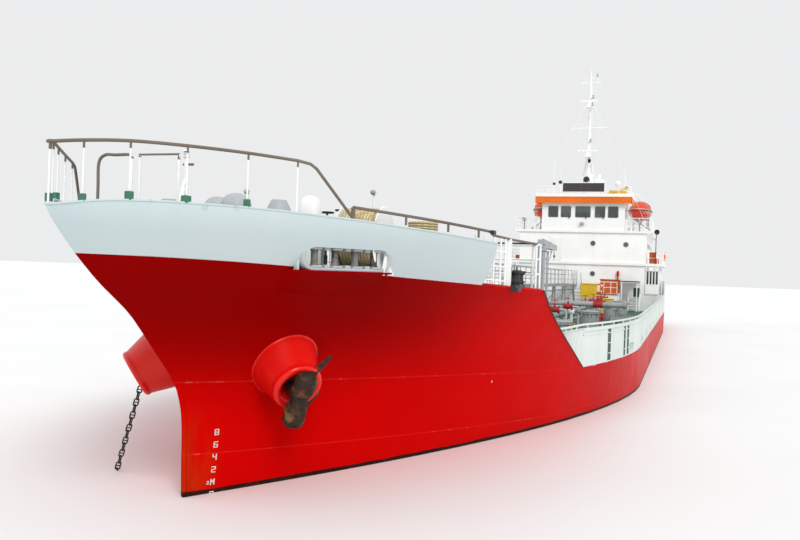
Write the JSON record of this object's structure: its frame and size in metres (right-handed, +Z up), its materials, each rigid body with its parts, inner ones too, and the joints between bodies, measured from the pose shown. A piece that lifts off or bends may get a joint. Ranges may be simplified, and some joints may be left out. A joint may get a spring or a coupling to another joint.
{
  "type": "1:2 scale model of a coastal tanker ship",
  "caption": "Half-scale model of a small coastal tanker: flared red bow, open tank deck with catwalk and hose crane, white aft house with hollow wheelhouse.",
  "frame": {"origin": "on the waterline, on the centreline, amidships", "axes": "+X to the bow, +Y to port, +Z up"},
  "size_m": [37.11, 6.37, 11.6],
  "materials": {
    "hull_red": "weathered gloss red",
    "bulwark_pale": "pale blue-grey paint",
    "house_white": "white paint, stained",
    "deck_grey": "grey deck paint",
    "roller_dark": "dark worn steel",
    "safety_orange": "orange gloss",
    "anchor_rust": "rust",
    "chain_dark": "tarred, rusted",
    "bronze": "cast bronze"
  },
  "bodies": {
    "ship": {"hull": "hull_red", "forecastle": "hull_red", "port_hawse_bolster": "hull_red", "starboard_hawse_bolster": "hull_red", "bow_bulwark": "bulwark_pale", "poop": "house_white", "house_tiers": "house_white", "wheelhouse": "house_white", "deckhouse": "house_white", "port_side_bulwark": "house_white", "starboard_side_bulwark": "house_white", "port_davit": "house_white", "starboard_davit": "house_white", "radar_mast": "house_white", "funnel": "house_white", "jackstaff": "house_white", "windlass_frame": "deck_grey", "port_fore_vent": "deck_grey", "starboard_fore_vent": "deck_grey", "port_fore_bollards": "deck_grey", "starboard_fore_bollards": "deck_grey", "catwalk": "deck_grey", "cargo_pipes": "deck_grey", "crane_column": "deck_grey", "jib_crutch": "deck_grey", "hatch_coaming_1": "deck_grey", "hatch_coaming_2": "deck_grey", "hatch_coaming_3": "deck_grey", "hatch_coaming_4": "deck_grey", "port_roller_base": "roller_dark", "starboard_roller_base": "roller_dark", "wheelhouse_roof": "safety_orange", "port_anchor": "anchor_rust", "starboard_chain": "chain_dark"},
    "propeller": {"propeller": "bronze"},
    "rudder": {"rudder": "hull_red"},
    "crane_jib": {"crane_jib": "deck_grey"},
    "windlass": {"windlass_drums": "deck_grey"},
    "scanner_1": {"radar_scanner_1": "house_white"},
    "scanner_2": {"radar_scanner_2": "house_white"},
    "port_chock_roller_1": {"port_chock_roller_1": "roller_dark"},
    "starboard_chock_roller_1": {"starboard_chock_roller_1": "roller_dark"},
    "port_chock_roller_2": {"port_chock_roller_2": "roller_dark"},
    "starboard_chock_roller_2": {"starboard_chock_roller_2": "roller_dark"},
    "port_chock_roller_3": {"port_chock_roller_3": "roller_dark"},
    "starboard_chock_roller_3": {"starboard_chock_roller_3": "roller_dark"},
    "port_chock_roller_4": {"port_chock_roller_4": "roller_dark"},
    "starboard_chock_roller_4": {"starboard_chock_roller_4": "roller_dark"},
    "port_pedestal_roller_1": {"port_pedestal_roller_1": "roller_dark"},
    "starboard_pedestal_roller_1": {"starboard_pedestal_roller_1": "roller_dark"},
    "port_pedestal_roller_2": {"port_pedestal_roller_2": "roller_dark"},
    "starboard_pedestal_roller_2": {"starboard_pedestal_roller_2": "roller_dark"},
    "hatch_lid_1": {"hatch_lid_1": "deck_grey"},
    "hatch_lid_2": {"hatch_lid_2": "deck_grey"},
    "hatch_lid_3": {"hatch_lid_3": "deck_grey"},
    "hatch_lid_4": {"hatch_lid_4": "deck_grey"},
    "port_wheelhouse_door": {"port_wheelhouse_door": "house_white"},
    "starboard_wheelhouse_door": {"starboard_wheelhouse_door": "house_white"},
    "port_lifeboat": {"port_lifeboat": "safety_orange"},
    "starboard_lifeboat": {"starboard_lifeboat": "safety_orange"}
  },
  "joints": [
    {"name": "propeller_spin", "type": "hinge", "parent": "ship", "child": "propeller", "pos_m": [-15.875, 0, -0.875], "axis": [1, 0, 0], "continuous": true},
    {"name": "rudder_turn", "type": "hinge", "parent": "ship", "child": "rudder", "pos_m": [-16.6, 0, -0.875], "axis": [0, 0, 1], "range_deg": [-35, 35]},
    {"name": "crane_slew", "type": "hinge", "parent": "ship", "child": "crane_jib", "pos_m": [0, 0.175, 2.7], "axis": [0, 0, 1], "range_deg": [-180, 180]},
    {"name": "windlass_turn", "type": "hinge", "parent": "ship", "child": "windlass", "pos_m": [15.5, 0, 2.175], "axis": [0, 1, 0], "continuous": true},
    {"name": "scanner_1_spin", "type": "hinge", "parent": "ship", "child": "scanner_1", "pos_m": [-11.675, 0, 7], "axis": [0, 0, 1], "continuous": true},
    {"name": "scanner_2_spin", "type": "hinge", "parent": "ship", "child": "scanner_2", "pos_m": [-11.675, 0, 9], "axis": [0, 0, 1], "continuous": true},
    {"name": "port_chock_roller_1_spin", "type": "hinge", "parent": "ship", "child": "port_chock_roller_1", "pos_m": [16.85019, 1.05941, 2.029], "axis": [0, 0, 1], "continuous": true},
    {"name": "starboard_chock_roller_1_spin", "type": "hinge", "parent": "ship", "child": "starboard_chock_roller_1", "pos_m": [16.85019, -1.05941, 2.029], "axis": [0, 0, 1], "continuous": true},
    {"name": "port_chock_roller_2_spin", "type": "hinge", "parent": "ship", "child": "port_chock_roller_2", "pos_m": [16.67309, 1.16264, 2.029], "axis": [0, 0, 1], "continuous": true},
    {"name": "starboard_chock_roller_2_spin", "type": "hinge", "parent": "ship", "child": "starboard_chock_roller_2", "pos_m": [16.67309, -1.16264, 2.029], "axis": [0, 0, 1], "continuous": true},
    {"name": "port_chock_roller_3_spin", "type": "hinge", "parent": "ship", "child": "port_chock_roller_3", "pos_m": [16.49166, 1.2684, 2.029], "axis": [0, 0, 1], "continuous": true},
    {"name": "starboard_chock_roller_3_spin", "type": "hinge", "parent": "ship", "child": "starboard_chock_roller_3", "pos_m": [16.49166, -1.2684, 2.029], "axis": [0, 0, 1], "continuous": true},
    {"name": "port_chock_roller_4_spin", "type": "hinge", "parent": "ship", "child": "port_chock_roller_4", "pos_m": [16.31455, 1.37164, 2.029], "axis": [0, 0, 1], "continuous": true},
    {"name": "starboard_chock_roller_4_spin", "type": "hinge", "parent": "ship", "child": "starboard_chock_roller_4", "pos_m": [16.31455, -1.37164, 2.029], "axis": [0, 0, 1], "continuous": true},
    {"name": "port_pedestal_roller_1_spin", "type": "hinge", "parent": "ship", "child": "port_pedestal_roller_1", "pos_m": [14.125, 2.175, 1.92785], "axis": [0, 0, 1], "continuous": true},
    {"name": "starboard_pedestal_roller_1_spin", "type": "hinge", "parent": "ship", "child": "starboard_pedestal_roller_1", "pos_m": [14.125, -2.175, 1.92785], "axis": [0, 0, 1], "continuous": true},
    {"name": "port_pedestal_roller_2_spin", "type": "hinge", "parent": "ship", "child": "port_pedestal_roller_2", "pos_m": [13.915, 2.175, 1.92785], "axis": [0, 0, 1], "continuous": true},
    {"name": "starboard_pedestal_roller_2_spin", "type": "hinge", "parent": "ship", "child": "starboard_pedestal_roller_2", "pos_m": [13.915, -2.175, 1.92785], "axis": [0, 0, 1], "continuous": true},
    {"name": "hatch_1_open", "type": "hinge", "parent": "ship", "child": "hatch_lid_1", "pos_m": [8.25, 1.6, 1.165], "axis": [1, 0, 0], "range_deg": [0, 95]},
    {"name": "hatch_2_open", "type": "hinge", "parent": "ship", "child": "hatch_lid_2", "pos_m": [3.25, 1.6, 1.165], "axis": [1, 0, 0], "range_deg": [0, 95]},
    {"name": "hatch_3_open", "type": "hinge", "parent": "ship", "child": "hatch_lid_3", "pos_m": [-2.75, 1.6, 1.165], "axis": [1, 0, 0], "range_deg": [0, 95]},
    {"name": "hatch_4_open", "type": "hinge", "parent": "ship", "child": "hatch_lid_4", "pos_m": [-7, 1.6, 1.165], "axis": [1, 0, 0], "range_deg": [0, 95]},
    {"name": "port_door_swing", "type": "hinge", "parent": "ship", "child": "port_wheelhouse_door", "pos_m": [-12.135, 1.616, 4.3], "axis": [0, 0, -1], "range_deg": [0, 100]},
    {"name": "starboard_door_swing", "type": "hinge", "parent": "ship", "child": "starboard_wheelhouse_door", "pos_m": [-12.135, -1.616, 4.3], "axis": [0, 0, 1], "range_deg": [0, 100]},
    {"name": "port_boat_lower", "type": "slide", "parent": "ship", "child": "port_lifeboat", "axis": [0, 0.8192, -0.5736], "range_m": [0, 0.8]},
    {"name": "starboard_boat_lower", "type": "slide", "parent": "ship", "child": "starboard_lifeboat", "axis": [0, -0.8192, -0.5736], "range_m": [0, 0.8]}
  ]
}
